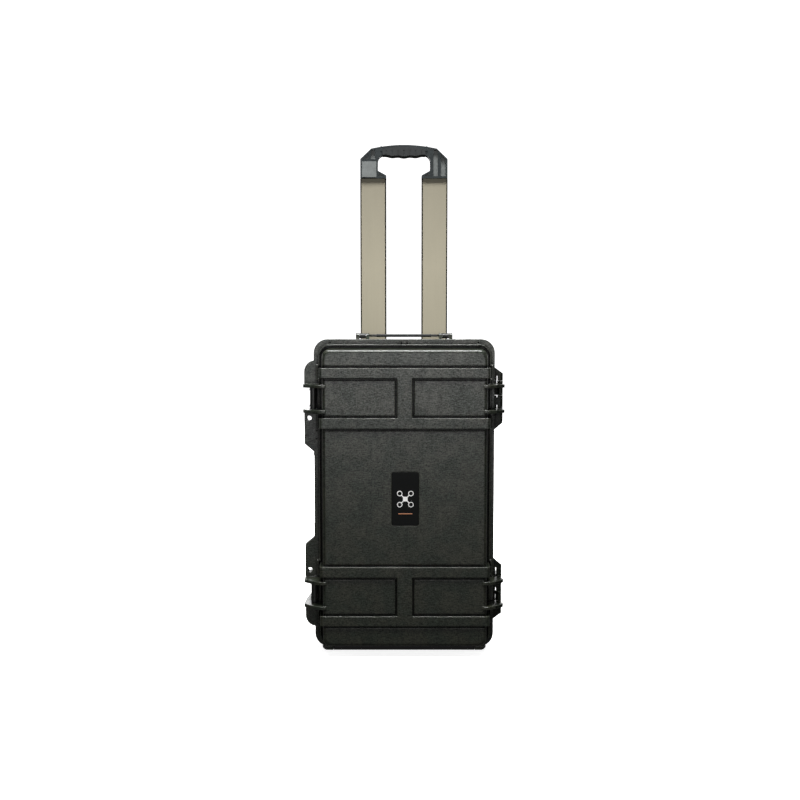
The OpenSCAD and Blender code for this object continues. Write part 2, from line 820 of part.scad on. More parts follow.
// Weight-saving pockets in the yoke's front face
module yoke_pockets_2d() {
    // right arm
    polygon([[55, 4], [63.4, 4], [63.4, 51.5], [55, 52.8]]);
    polygon([[69, 4], [78, 4], [78, 35], [69, 43.5]]);
    polygon([[37.5, 4.2], [47, 4.2], [47, 9.8]]);
    // left arm
    polygon([[-62, 35], [-53.6, 35], [-53.6, 53], [-62, 51.5]]);
    polygon([[-76, 35], [-66.4, 35], [-66.4, 43.5]]);
    polygon([[-37.5, 4.2], [-47, 4.2], [-47, 9.8]]);
}

module trolley_yoke() color([0.27, 0.28, 0.28]) in_case() difference() {
    y0 = tube_y - yoke_t / 2;
    y1 = tube_y + yoke_t / 2;
    union() {
        slab(y0, y1, yoke_low) difference() {
            yoke_outer_2d();
            yoke_opening_2d();
        }
        // the smooth raised panel on the left arm
        slab(y0 - 1, y0, yoke_low) polygon([
            [-78.5, 2], [-51.5, 2], [-51.5, 31], [-78.5, 31]
        ]);
        // tongues that fill the tubes' tops
        for (side = ["left", "right"])
            one_side(side) translate([tube_x, tube_y, 0])
                shelf(yoke_low - tongue, yoke_low + 1) tube_section(-tube_wall - 0.1);
        // low ribs at the ends of the grip
        for (x = [-42.5, 42.5])
            block([x - 1.2, y0 - 1.2, yoke_low + 50], [x + 1.2, y1 + 1.2, yoke_high - 2.6]);
    }
    slab(y0 - 2, y0 + 5, yoke_low) yoke_pockets_2d();
    // way for the release bar and its rods
    block([-release_x - 4, tube_y - 3.2, bar_top - bar_h - button_travel - slip],
        [release_x + 4, tube_y + 3.2, bar_top + slip]);
    for (side = ["left", "right"])
        one_side(side) rod_z(yoke_low - tongue - 1, yoke_low + 50, release_x, tube_y, release_r + 0.6);
    // well of the button, with a hole for its stem
    block([-button_half - slip, tube_y - 7.4, well_floor], [button_half + slip, tube_y + 7.4, yoke_high + 1]);
    rod_z(bar_top - button_travel, well_floor + 1, 0, tube_y, 2.9);
    rivet_holes_both();
}

module rivet_holes_both() {
    for (side = ["left", "right"]) one_side(side) rivet_holes(rivet_r);
}

// The overmould around the cross bar: lens-shaped faces with finger lines and a waved underside
module trolley_grip() color([0.06, 0.065, 0.065]) in_case() difference() {
    top_of = function(x) 57.4 - 5 * pow(x / grip_reach, 2);
    low_of = function(x) 40.8 + 2.2 * pow(x / grip_reach, 2) - 0.7 * cos(x * 16);
    front = tube_y - yoke_t / 2 - grip_t;
    back = tube_y + yoke_t / 2 + grip_t;
    slab(front, back, yoke_low) polygon(concat(
        [for (x = [-40:2:40]) [x, low_of(x)]],
        [for (x = [40:-5:-40]) [x, top_of(x)]]));
    // the yoke's cross bar passes through it
    slab(tube_y - yoke_t / 2, tube_y + yoke_t / 2, yoke_low) difference() {
        yoke_outer_2d();
        yoke_opening_2d();
    }
    for (x = [-33:11:33], y = [front - 1, back - finger_line[1]])
        slab(y, y + 1 + finger_line[1], yoke_low)
            translate([x - finger_line[0] / 2, 43]) square([finger_line[0], 8.5]);
}

module trolley_button() color([0.22, 0.23, 0.235]) in_case() {
    block([-button_half, tube_y - 7, button_low], [button_half, tube_y + 7, yoke_high + 0.8]);
    rod_z(bar_top, button_low, 0, tube_y, 2.5);
}

module release_bar() color([0.5, 0.5, 0.5]) in_case()
    block([-release_x - 2, tube_y - 2, bar_top - bar_h], [release_x + 2, tube_y + 2, bar_top]);

module release_rod(side) color([0.5, 0.5, 0.5]) in_case() one_side(side)
    rod_z(lock_z + 8, bar_top - bar_h, release_x, tube_y, release_r);

// The coil under the button
module button_spring() color([0.6, 0.6, 0.6]) in_case() translate([0, tube_y, well_floor]) {
    turns = 3;
    steps = 14;
    sides = 6;
    coil_r = 3.6;
    wire_r = 0.3;
    height = button_low - well_floor;
    rings = turns * steps;
    points = [for (i = [0:rings])
        let (a = 360 * i / steps, z = wire_r + (height - 2 * wire_r) * i / rings)
        for (j = [0:sides - 1])
            let (b = 360 * j / sides)
            [(coil_r + wire_r * cos(b)) * cos(a), (coil_r + wire_r * cos(b)) * sin(a), z + wire_r * sin(b)]];
    skin = [for (i = [0:rings - 1]) for (j = [0:sides - 1])
        let (k = (j + 1) % sides)
        [i * sides + j, (i + 1) * sides + j, (i + 1) * sides + k, i * sides + k]];
    first = [for (j = [0:sides - 1]) j];
    last = [for (j = [sides - 1:-1:0]) rings * sides + j];
    polyhedron(points, concat(skin, [first], [last]));
}

module lock_pin(side) color([0.6, 0.6, 0.6]) in_case() one_side(side)
    rod_x(tube_out - lock_len, tube_out - 0.1, tube_y, lock_z, lock_r);

// The plug in a tube's lower end, which also holds the lock pin
module trolley_shoe(side) color([0.1, 0.1, 0.1]) in_case() one_side(side) difference() {
    translate([tube_x, tube_y, 0]) {
        shelf(tube_low - 6, tube_low) tube_section(1);
        shelf(tube_low, tube_low + shoe_h) tube_section(-tube_wall - 0.1);
    }
    rod_x(release_x - 2, tube_out + 1, tube_y, lock_z, lock_r + run_gap);
    rod_z(lock_z, tube_low + shoe_h + 1, release_x, tube_y, release_r + 0.3);
}

// The block that the tubes slide through
module trolley_guide() color([0.09, 0.09, 0.09]) in_case() difference() {
    half = channel_half - wall - 0.1;
    block([-half, base_back + 0.1, guide_z[0]], [half, case_d - cover_t - 0.1, guide_z[1]]);
    for (side = ["left", "right"])
        one_side(side) {
            translate([tube_x, tube_y, 0]) shelf(guide_z[0] - 1, guide_z[1] + 1) tube_section(0.35);
            rod_x(tube_out - 2, tube_out + 2.4, tube_y, lock_z, lock_r + slip);
        }
}

module cover_screw_holes(r) {
    for (x = [-channel_half + 2.6, channel_half - 2.6])
        for (z = [40, 190, 340, 470])
            rod_y(case_d - cover_t - 10, case_d + 1, x, z, r);
}

module trolley_cover() color([0.13, 0.135, 0.13]) in_case() difference() {
    union() {
        slab(case_d - cover_t, case_d - 1, (channel_low + guide_z[1]) / 2)
            polygon(rr_pts(2 * channel_half, guide_z[1] - channel_low, 6));
        // stiffening ribs that also act as skids
        for (x = [-60, -30, 0, 30, 60])
            block([x - 2, case_d - 1.2, 40], [x + 2, case_d, 450]);
    }
    cover_screw_holes(1.7);
    for (x = [-channel_half + 2.6, channel_half - 2.6])
        for (z = [40, 190, 340, 470])
            rod_y(case_d - 2, case_d + 1, x, z, 2.5);
}

module trolley_cover_screws() color([0.5, 0.5, 0.5]) in_case() difference() {
    for (x = [-channel_half + 2.6, channel_half - 2.6])
        for (z = [40, 190, 340, 470]) {
            rod_y(case_d - cover_t - 8, case_d - 2, x, z, 1.55);
            rod_y(case_d - 2, case_d - 0.6, x, z, 2.4);
        }
    for (x = [-channel_half + 2.6, channel_half - 2.6])
        for (z = [40, 190, 340, 470])
            block([x - 1.6, case_d - 1.2, z - 0.35], [x + 1.6, case_d, z + 0.35]);
}

// ---- wheels ----

module wheel_tyre(side) color([0.05, 0.05, 0.05]) in_case() one_side(side)
    translate([wheel_x, wheel_y, wheel_r]) rotate([0, 90, 0]) rotate_extrude($fn = 96) polygon([
        [17.5, -wheel_w / 2], [wheel_r - 3, -wheel_w / 2], [wheel_r - 0.8, -wheel_w / 2 + 2],
        [wheel_r, -wheel_w / 2 + 5], [wheel_r, wheel_w / 2 - 5], [wheel_r - 0.8, wheel_w / 2 - 2],
        [wheel_r - 3, wheel_w / 2], [17.5, wheel_w / 2]
    ]);

module wheel_hub(side) color([0.3, 0.31, 0.31]) in_case() one_side(side)
    translate([wheel_x, wheel_y, wheel_r]) rotate([0, 90, 0]) difference() {
        translate([0, 0, -wheel_w / 2 + 0.6]) cylinder(h = wheel_w - 1.2, r = 17.5, $fn = 96);
        for (z = [-wheel_w / 2, wheel_w / 2 - 5.5])
            translate([0, 0, z]) cylinder(h = 5.5, r = 8, $fn = 64);
        translate([0, 0, -wheel_w]) cylinder(h = 2 * wheel_w, r = axle_r + 1, $fn = 64);
        for (a = [0:60:300])
            rotate(a) translate([12.6, 0, -wheel_w]) cylinder(h = 2 * wheel_w, r = 2.6, $fn = 32);
    }

module wheel_bearings(side) color([0.6, 0.6, 0.6]) in_case() one_side(side)
    translate([wheel_x, wheel_y, wheel_r]) rotate([0, 90, 0])
        for (z = [-wheel_w / 2 + 0.5, wheel_w / 2 - 5.5])
            difference() {
                translate([0, 0, z]) cylinder(h = 5, r = 8, $fn = 64);
                translate([0, 0, z - 1]) cylinder(h = 7, r = axle_r + run_gap, $fn = 64);
            }

module wheel_axle(side) color([0.55, 0.55, 0.56]) in_case() one_side(side)
    rod_x(wheel_x - well_half - housing_wall + 0.2, wheel_x + well_half + housing_wall - 0.2,
        wheel_y, wheel_r, axle_r);

// ---- foam in the base ----

module pocket(p) translate([p[0], p[1] - mid_z]) polygon(rr_pts(p[2], p[3], 12, 6));

module foam_outline() {
    w = base_w - 2 * wall - 2 * base_draft - 2 * foam_clear;
    h = base_h - 2 * wall - 2 * base_draft - 2 * foam_clear;
    polygon(rr_pts(w, h, base_r - wall));
}

module foam_insert() color([0.19, 0.19, 0.2]) in_case() slab(insert_y[0], insert_y[1]) difference() {
    foam_outline();
    pocket(drone_pocket);
    pocket(charger_pocket);
    pocket(remote_pocket);
    for (b = battery_pockets)
        pocket(b);
}

module foam_base_pad() color([0.17, 0.17, 0.18]) in_case() slab(pad_y[0], pad_y[1]) difference() {
    foam_outline();
    for (side = [0, 1])
        mirror([side, 0]) translate([104, -far]) square([60, far - (mid_z - 62)]);
}

// ---- pressure valve ----

module valve_body() color([0.1, 0.1, 0.1]) in_case() difference() {
    union() {
        rod_x(valve_x - 7.5, valve_x + 4, valve_y, valve_z, 9);
        rod_x(valve_x - 9.5, valve_x - 6, valve_y, valve_z, 12.5);
    }
    rod_x(valve_x - 10, valve_x - 1, valve_y, valve_z, 5.06);
    rod_x(valve_x - 2, valve_x + 5, valve_y, valve_z, 2.5);
}

module valve_knob() color([0.16, 0.16, 0.16]) in_case() difference() {
    union() {
        rod_x(valve_x - 14.5, valve_x - 9.9, valve_y, valve_z, 10);
        rod_x(valve_x - 10, valve_x - 1.5, valve_y, valve_z, 5);
    }
    for (a = [0:30:330])
        translate([0, valve_y, valve_z]) rotate([a, 0, 0])
            rod_x(valve_x - 15, valve_x - 10.8, 10.6, 0, 1.4);
}

module valve_membrane() color([0.85, 0.85, 0.82]) in_case()
    rod_x(valve_x + 4, valve_x + 4.6, valve_y, valve_z, 7);

base_shell();
lid_shell();
lid_gasket();
lid_foam();
foam_insert();
foam_base_pad();
label_plate();
label_mark();
hinge_pin("upper");  // hinge_pin_upper
hinge_pin("lower");  // hinge_pin_lower
latch_body("upper");  // latch_body_upper
latch_body("lower");  // latch_body_lower
latch_lever("upper");  // latch_lever_upper
latch_lever("lower");  // latch_lever_lower
latch_pin("upper");  // latch_pin_upper
latch_pin("lower");  // latch_pin_lower
lever_pin("upper");  // lever_pin_upper
lever_pin("lower");  // lever_pin_lower
front_handle_frame();
front_handle_grip();
front_handle_pins();
top_handle_frame();
top_handle_grip();
top_handle_pins();
trolley_tube("left");  // trolley_tube_left
trolley_tube("right");  // trolley_tube_right
trolley_yoke();
trolley_grip();
trolley_rivets();
trolley_shoe("left");  // trolley_shoe_left
trolley_shoe("right");  // trolley_shoe_right
trolley_button();
release_bar();
release_rod("left");  // release_rod_left
release_rod("right");  // release_rod_right
button_spring();
lock_pin("left");  // lock_pin_left
lock_pin("right");  // lock_pin_right
trolley_guide();
trolley_cover();
trolley_cover_screws();
wheel_tyre("left");  // wheel_tyre_left
wheel_tyre("right");  // wheel_tyre_right
wheel_hub("left");  // wheel_hub_left
wheel_hub("right");  // wheel_hub_right
wheel_bearings("left");  // wheel_bearings_left
wheel_bearings("right");  // wheel_bearings_right
wheel_axle("left");  // wheel_axle_left
wheel_axle("right");  // wheel_axle_right
foot_rail();
valve_body();
valve_knob();
valve_membrane();
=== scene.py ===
"""Looks of the rolling equipment case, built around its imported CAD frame.

All lengths are metres in the shared frame: +Z up, -Y out of the lid, +X towards the hinges.
"""
import json
import math

import bmesh
import bpy
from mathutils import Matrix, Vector


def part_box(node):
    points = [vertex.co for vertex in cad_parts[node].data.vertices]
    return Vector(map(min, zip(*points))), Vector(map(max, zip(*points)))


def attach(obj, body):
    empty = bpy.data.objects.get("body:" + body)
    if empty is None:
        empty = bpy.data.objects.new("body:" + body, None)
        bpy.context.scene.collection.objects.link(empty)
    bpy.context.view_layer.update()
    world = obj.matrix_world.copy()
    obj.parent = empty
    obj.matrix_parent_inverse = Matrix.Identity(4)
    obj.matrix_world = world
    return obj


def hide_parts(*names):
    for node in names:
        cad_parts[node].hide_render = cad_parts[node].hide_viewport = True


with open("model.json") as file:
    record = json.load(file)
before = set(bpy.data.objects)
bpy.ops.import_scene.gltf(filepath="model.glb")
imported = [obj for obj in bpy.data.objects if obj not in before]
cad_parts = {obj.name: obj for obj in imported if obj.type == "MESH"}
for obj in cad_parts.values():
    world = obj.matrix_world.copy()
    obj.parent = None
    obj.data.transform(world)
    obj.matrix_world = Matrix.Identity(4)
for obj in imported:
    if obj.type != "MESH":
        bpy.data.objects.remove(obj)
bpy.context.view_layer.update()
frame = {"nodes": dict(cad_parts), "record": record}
nodes = frame["nodes"]
MM = 0.001


# ---- camera: a long lens, slightly above the middle of the standing case ----

CAMERA_DISTANCE = 1.700   # from the camera to the plane of the flange
CAMERA_HEIGHT = 0.568
CAMERA_SIDE = -0.00655
CAMERA_PITCH = 4.2        # degrees below the horizon
LENS = 44.05              # mm on a 36 mm sensor


def make_camera():
    flange_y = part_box("lid_gasket")[1].y
    data = bpy.data.cameras.new("camera")
    data.lens = LENS
    data.sensor_width = 36
    data.clip_end = 50
    camera = bpy.data.objects.new("camera", data)
    camera.location = (CAMERA_SIDE, flange_y - CAMERA_DISTANCE, CAMERA_HEIGHT)
    camera.rotation_euler = (math.radians(90 - CAMERA_PITCH), 0, 0)
    bpy.context.scene.collection.objects.link(camera)
    bpy.context.scene.camera = camera


make_camera()


# ---- materials ----

YOKE_RIB = 1.2 * MM            # how far the yoke's ribs stand proud of its front
YOKE_PANEL_RIGHT = -46 * MM    # the yoke's pale raised panel lies left of this x
YOKE_POCKET_DEPTH = 5 * MM
RULE_HEIGHT = 4 * MM           # the label mark's rule is under this, from its lowest point
HINGE_SHADE_X = 0.157             # painted shade: the shells are darker beyond this x

class Graph:
    """A material's node tree with short calls for the nodes used here."""

    def __init__(self, name):
        self.material = bpy.data.materials.new(name)
        self.material.use_nodes = True
        self.tree = self.material.node_tree
        self.shader = self.tree.nodes["Principled BSDF"]
        self.coords = self.add("ShaderNodeTexCoord").outputs["Object"]

    def add(self, kind, **settings):
        made = self.tree.nodes.new(kind)
        for key, value in settings.items():
            setattr(made, key, value)
        return made

    def link(self, source, target):
        self.tree.links.new(source, target)

    def stretch(self, scale):
        mapping = self.add("ShaderNodeMapping")
        mapping.inputs["Scale"].default_value = scale
        self.link(self.coords, mapping.inputs["Vector"])
        return mapping.outputs["Vector"]

    def position(self):
        """The X, Y and Z outputs of a point's place on the piece."""
        made = self.add("ShaderNodeSeparateXYZ")
        self.link(self.coords, made.inputs["Vector"])
        return made.outputs

    def facing(self):
        """The X, Y and Z outputs of the surface normal."""
        made = self.add("ShaderNodeSeparateXYZ")
        self.link(self.add("ShaderNodeNewGeometry").outputs["Normal"], made.inputs["Vector"])
        return made.outputs

    def noise(self, scale, detail=3.0, rough=0.55, vector=None):
        made = self.add("ShaderNodeTexNoise")
        made.inputs["Scale"].default_value = scale
        made.inputs["Detail"].default_value = detail
        made.inputs["Roughness"].default_value = rough
        self.link(vector or self.coords, made.inputs["Vector"])
        return made.outputs["Fac"]

    def cells(self, scale, vector=None):
        made = self.add("ShaderNodeTexVoronoi")
        made.inputs["Scale"].default_value = scale
        self.link(vector or self.coords, made.inputs["Vector"])
        return made.outputs["Distance"]

    def spread(self, value, low, high, from_low=0.3, from_high=0.7):
        made = self.add("ShaderNodeMapRange")
        made.inputs["From Min"].default_value = from_low
        made.inputs["From Max"].default_value = from_high
        made.inputs["To Min"].default_value = low
        made.inputs["To Max"].default_value = high
        self.link(value, made.inputs["Value"])
        return made.outputs["Result"]

    def math(self, operation, first, second):
        made = self.add("ShaderNodeMath", operation=operation)
        for socket, value in zip(made.inputs, (first, second)):
            if isinstance(value, (int, float)):
                socket.default_value = value
            else:
                self.link(value, socket)
        return made.outputs["Value"]

    def mix(self, factor, first, second):
        made = self.add("ShaderNodeMix", data_type="RGBA")
        self.link(factor, made.inputs["Factor"])
        for socket, value in zip((made.inputs[6], made.inputs[7]), (first, second)):
            if isinstance(value, tuple):
                socket.default_value = (*value, 1)
            else:
                self.link(value, socket)
        return made.outputs[2]

    def bump(self, height, distance, strength=1.0, normal=None):
        made = self.add("ShaderNodeBump")
        made.inputs["Distance"].default_value = distance
        made.inputs["Strength"].default_value = strength
        self.link(height, made.inputs["Height"])
        if normal is not None:
            self.link(normal, made.inputs["Normal"])
        return made.outputs["Normal"]

    def rounded(self, radius):
        """The surface normal as if every edge were rounded by radius."""
        made = self.add("ShaderNodeBevel", samples=6)
        made.inputs["Radius"].default_value = radius
        return made.outputs["Normal"]

    def edges(self, radius):
        """1 near convex and concave edges, within radius, and 0 on flat faces."""
        geometry = self.add("ShaderNodeNewGeometry")
        dot = self.add("ShaderNodeVectorMath", operation="DOT_PRODUCT")
        self.link(self.rounded(radius), dot.inputs[0])
        self.link(geometry.outputs["Normal"], dot.inputs[1])
        return self.spread(dot.outputs["Value"], 1.0, 0.0, 0.9, 0.995)

    def open_space(self, distance):
        """1 where nothing is near, 0 deep in grooves and corners narrower than distance."""
        made = self.add("ShaderNodeAmbientOcclusion", samples=6)
        made.inputs["Distance"].default_value = distance
        return self.spread(made.outputs["AO"], 0, 1, 0.40, 0.90)

    def set(self, **inputs):
        for key, value in inputs.items():
            socket = self.shader.inputs[key.replace("_", " ").title().replace("Ior", "IOR")]
            if isinstance(value, tuple):
                socket.default_value = (*value, 1)
            elif isinstance(value, (int, float)):
                socket.default_value = value
            else:
                self.link(value, socket)
        return self.material


def shade(color, factor):
    return tuple(c * factor for c in color)


def tint(color, factors):
    return tuple(c * factor for c, factor in zip(color, factors))


def moulded_plastic(name, color, rough=0.45, mottle=0.35, wear=0.0):
    """Injection-moulded plastic: fine grain and cloudy flow marks. wear lightens sharp edges."""
    g = Graph(name)
    clouds = g.noise(38, 4.0, 0.62)
    specks = g.noise(260, 3.0, 0.7)
    tone = g.math("ADD", g.math("MULTIPLY", clouds, 0.3), g.math("MULTIPLY", specks, 0.7))
    paint = g.mix(g.spread(tone, 0, 1, 0.36, 0.64), shade(color, 1 - mottle), shade(color, 1 + mottle))
    if wear:
        paint = wear_and_edge_highlight(g, paint, color, wear)
    roughness = g.spread(g.math("ADD", g.math("MULTIPLY", specks, 0.6), g.math("MULTIPLY", clouds, 0.4)),
                         rough - 0.09, rough + 0.12, 0.35, 0.65)
    grain = g.noise(1100, 2.0, 0.6)
    height = g.math("ADD", g.math("MULTIPLY", grain, 0.7), g.math("MULTIPLY", specks, 0.5))
    return g.set(base_color=paint, roughness=roughness, normal=g.bump(height, 0.05 * MM, 0.85),
                 specular_ior_level=0.5)


# Lightens the paint near edges. On the latches, handles, button and cover this is wear; on the yoke it is
# wear and a painted highlight.
def wear_and_edge_highlight(g, paint, color, amount):
    wear_and_highlight_mask = g.math("MULTIPLY", g.edges(0.0011), g.spread(g.noise(120, 3.0), 0.25, 1.0))
    return g.mix(g.math("MULTIPLY", wear_and_highlight_mask, amount), paint, shade(color, 2.6))


def yoke_skin(name, rim, panel):
    """The yoke's dark moulded frame; its raised panel is paler, the floors of its pockets are painted paler
    as a painted reflection, and its edges are lightened as wear and a painted highlight.
    """
    g = Graph(name)
    clouds = g.noise(60, 4.0, 0.62)
    specks = g.noise(420, 3.0, 0.7)
    place = g.position()
    frame_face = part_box("trolley_yoke")[0].y + YOKE_RIB
    depth = g.math("SUBTRACT", place["Y"], frame_face)
    left_arm = g.math("LESS_THAN", place["X"], YOKE_PANEL_RIGHT)
    raised = g.math("MULTIPLY", left_arm, g.math("LESS_THAN", depth, -0.5 * MM))
    # Painted reflection: the floors of the pockets are painted paler.
    from_floor = g.math("ABSOLUTE", g.math("SUBTRACT", depth, YOKE_POCKET_DEPTH), 0)
    sunk = g.math("LESS_THAN", from_floor, 0.3 * MM)
    pocket_floor_reflection = g.math("MULTIPLY", sunk, g.math("LESS_THAN", g.facing()["Y"], -0.9))
    tone = g.math("ADD", g.math("MULTIPLY", clouds, 0.5), g.math("MULTIPLY", specks, 0.5))
    spots = g.spread(tone, 0, 1, 0.36, 0.64)
    # The dark frame's edges are lightened: wear and a painted highlight.
    dark = wear_and_edge_highlight(g, g.mix(spots, shade(rim, 0.6), shade(rim, 1.4)), rim, 0.7)
    pale = g.mix(spots, shade(panel, 0.75), shade(panel, 1.25))
    pale_part = g.math("MAXIMUM", raised, pocket_floor_reflection)
    return g.set(base_color=g.mix(pale_part, dark, pale), roughness=g.spread(specks, 0.42, 0.58),
                 specular_ior_level=g.spread(pale_part, 0.14, 0.5, 0, 1),
                 normal=g.bump(specks, 0.05 * MM, 0.85))


def shell_skin(name, color):
    """The shells' moulded skin: greenish and brownish flecks on near-black. Painted shade makes the grooves
    black and the hinge side darker, and a painted highlight lightens the edges.
    """
    g = Graph(name)
    clouds = g.noise(26, 4.0, 0.6)
    flakes = g.noise(430, 4.0, 0.7)
    fibres = g.noise(1.0, 3.0, 0.7, g.stretch((150, 150, 620)))
    fleck = g.spread(g.math("ADD", g.math("MULTIPLY", flakes, 0.55), g.math("MULTIPLY", fibres, 0.45)),
                     0, 1, 0.38, 0.62)
    greenish = tint(color, (2.1, 2.6, 2.2))
    brownish = tint(color, (2.7, 2.75, 2.1))
    pale = g.mix(g.spread(clouds, 0, 1, 0.42, 0.58), greenish, brownish)
    paint = g.mix(fleck, shade(color, 0.35), pale)
    # Painted shade: this mask is 0 in grooves and narrow corners, and the paint turns black there.
    clear = g.open_space(10 * MM)
    # Painted highlight: the paint is made much lighter along edges, less so beside grooves.
    edge = g.math("MULTIPLY", g.edges(1.5 * MM), g.spread(clear, 0.2, 1.0, 0.1, 1))
    # Painted shade: beyond the hinge-side x the shells are painted darker.
    outside_hinge_shade = g.spread(g.position()["X"], 1, 0.3, HINGE_SHADE_X, HINGE_SHADE_X + 1.5 * MM)
    paint = g.mix(g.math("MULTIPLY", clear, outside_hinge_shade), shade(color, 0.05), paint)
    paint = g.mix(g.math("MULTIPLY", edge, 0.6), paint, shade(color, 9))
    shine = g.math("MULTIPLY", g.math("MULTIPLY", outside_hinge_shade, g.spread(clear, 0.12, 1.0, 0, 1)),
                   g.spread(g.math("ADD", g.math("MULTIPLY", fleck, 0.5), g.math("MULTIPLY", clouds, 0.5)),
                            0.28, 0.72, 0.3, 0.7))
    coarse = g.bump(fleck, 0.05 * MM, 1.0, g.rounded(2.2 * MM))
    return g.set(base_color=paint, roughness=g.spread(fleck, 0.36, 0.28, 0, 1), specular_ior_level=shine,
                 normal=g.bump(g.noise(1100, 2.0, 0.6), 0.05 * MM, 0.85, coarse))


def rubber(name, color, grain=900):
    g = Graph(name)
    fine = g.noise(grain, 3.0, 0.7)
    dust = g.noise(60, 4.0, 0.6)
    paint = g.mix(g.spread(dust, 0, 1, 0.4, 0.7), color, shade(color, 1.8))
    return g.set(base_color=paint, roughness=g.spread(dust, 0.62, 0.82), normal=g.bump(fine, 0.06 * MM, 0.8),
                 specular_ior_level=0.35)


def anodised_tube(name, color):
    """Drawn and anodised aluminium, brushed along the tube; painted shade makes its top, under the yoke, and
    its narrow sides darker.
    """
    g = Graph(name)
    streaks = g.noise(1.0, 4.0, 0.65, g.stretch((2600, 2600, 9)))
    broad = g.noise(1.0, 2.0, 0.5, g.stretch((40, 40, 6)))
    paint = g.mix(g.spread(streaks, 0, 1, 0.3, 0.7), shade(color, 0.94), shade(color, 1.06))
    paint = g.mix(g.spread(broad, 0, 0.5), paint, shade(color, 0.9))
    # Painted shade: darker towards the top, under the yoke.
    paint = g.mix(g.spread(g.position()["Z"], 0, 0.6, 0.68, 0.84), paint, shade(color, 0.45))
    # Painted shade: the narrow sides, facing along x, are painted nearly black.
    painted_side_shade = g.math("ABSOLUTE", g.facing()["X"], 0)
    paint = g.mix(g.spread(painted_side_shade, 0, 1, 0.25, 0.5), paint, (0.012, 0.012, 0.010))
    return g.set(base_color=paint, metallic=0.15, roughness=g.spread(streaks, 0.5, 0.62),
                 specular_ior_level=0.3, normal=g.bump(streaks, 0.02 * MM, 0.6))


def steel(name, color):
    g = Graph(name)
    turned = g.noise(1.0, 3.0, 0.6, g.stretch((1800, 1800, 1800)))
    marks = g.noise(420, 3.0, 0.6)
    paint = g.mix(g.spread(turned, 0, 1), shade(color, 0.8), color)
    return g.set(base_color=paint, metallic=1.0, roughness=g.spread(marks, 0.24, 0.44),
                 normal=g.bump(turned, 0.01 * MM, 0.5))


def label_film(name, color):
    g = Graph(name)
    dust = g.noise(420, 4.0, 0.7)
    paint = g.mix(g.spread(dust, 0, 1, 0.5, 0.8), color, shade(color, 1.5))
    return g.set(base_color=paint, roughness=g.spread(dust, 0.5, 0.6), specular_ior_level=0.12,
                 normal=g.bump(g.noise(900, 2.0), 0.01 * MM, 0.6))


def label_ink(name, ink, accent):
    """White ink above, copper below, with a slight print grain."""
    g = Graph(name)
    rule_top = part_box("label_mark")[0].z + RULE_HEIGHT
    is_rule = g.math("LESS_THAN", g.position()["Z"], rule_top)
    grain = g.noise(2200, 2.0)
    paint = g.mix(is_rule, ink, accent)
    paint = g.mix(g.spread(grain, 0, 0.2), paint, shade(ink, 0.6))
    return g.set(base_color=paint, roughness=g.spread(grain, 0.3, 0.45))


def foam_look(name, color):
    """Open-cell foam: small pores, darkened by painted shade; no gloss."""
    g = Graph(name)
    pores = g.cells(1400)
    soft = g.noise(90, 4.0, 0.6)
    # Painted shade: the pores are painted darker.
    paint = g.mix(g.spread(pores, 0, 1, 0.05, 0.45), shade(color, 0.45), shade(color, 1.25))
    paint = g.mix(g.spread(soft, 0, 0.35), paint, shade(color, 0.75))
    return g.set(base_color=paint, roughness=0.95, normal=g.bump(pores, 0.25 * MM, 0.9),
                 specular_ior_level=0.15)


def woven_membrane(name, color):
    g = Graph(name)
    threads = g.cells(2600)
    paint = g.mix(g.spread(threads, 0, 1, 0.1, 0.5), shade(color, 0.8), color)
    return g.set(base_color=paint, roughness=0.9, normal=g.bump(threads, 0.05 * MM, 0.7))


MATERIALS = {
    "shell_plastic": shell_skin("shell_plastic", (0.0108, 0.0117, 0.0093)),
    "latch_plastic": moulded_plastic("latch_plastic", (0.012, 0.0125, 0.0115), 0.38, mottle=0.3, wear=0.5),
    "handle_plastic": moulded_plastic("handle_plastic", (0.016, 0.017, 0.016), 0.42, mottle=0.3, wear=0.4),
    "yoke_plastic": yoke_skin("yoke_plastic", (0.021, 0.025, 0.026), (0.124, 0.134, 0.131)),
    "button_plastic": moulded_plastic("button_plastic", (0.055, 0.060, 0.062), 0.46, mottle=0.3, wear=0.4),
    "guide_plastic": moulded_plastic("guide_plastic", (0.012, 0.012, 0.012), 0.38, mottle=0.2),
    "cover_plastic": moulded_plastic("cover_plastic", (0.018, 0.019, 0.017), 0.46, mottle=0.35, wear=0.3),
    "hub_plastic": moulded_plastic("hub_plastic", (0.04, 0.04, 0.04), 0.40, mottle=0.25),
    "label_black": label_film("label_black", (0.0025, 0.003, 0.0028)),
    "label_copper": label_ink("label_copper", (0.92, 0.92, 0.90), (0.55, 0.2, 0.075)),
    "tube_aluminium": anodised_tube("tube_aluminium", (0.352, 0.323, 0.243)),
    "pin_steel": steel("pin_steel", (0.55, 0.55, 0.56)),
    "grip_rubber": rubber("grip_rubber", (0.011, 0.0125, 0.0130)),
    "seal_rubber": rubber("seal_rubber", (0.012, 0.012, 0.012)),
    "foot_rubber": rubber("foot_rubber", (0.010, 0.010, 0.010)),
    "wheel_rubber": rubber("wheel_rubber", (0.015, 0.015, 0.015), 600),
    "foam": foam_look("foam", (0.050, 0.050, 0.056)),
    "membrane": woven_membrane("membrane", (0.75, 0.75, 0.7)),
}


# ---- CAD nodes: finish and rounded edges ----

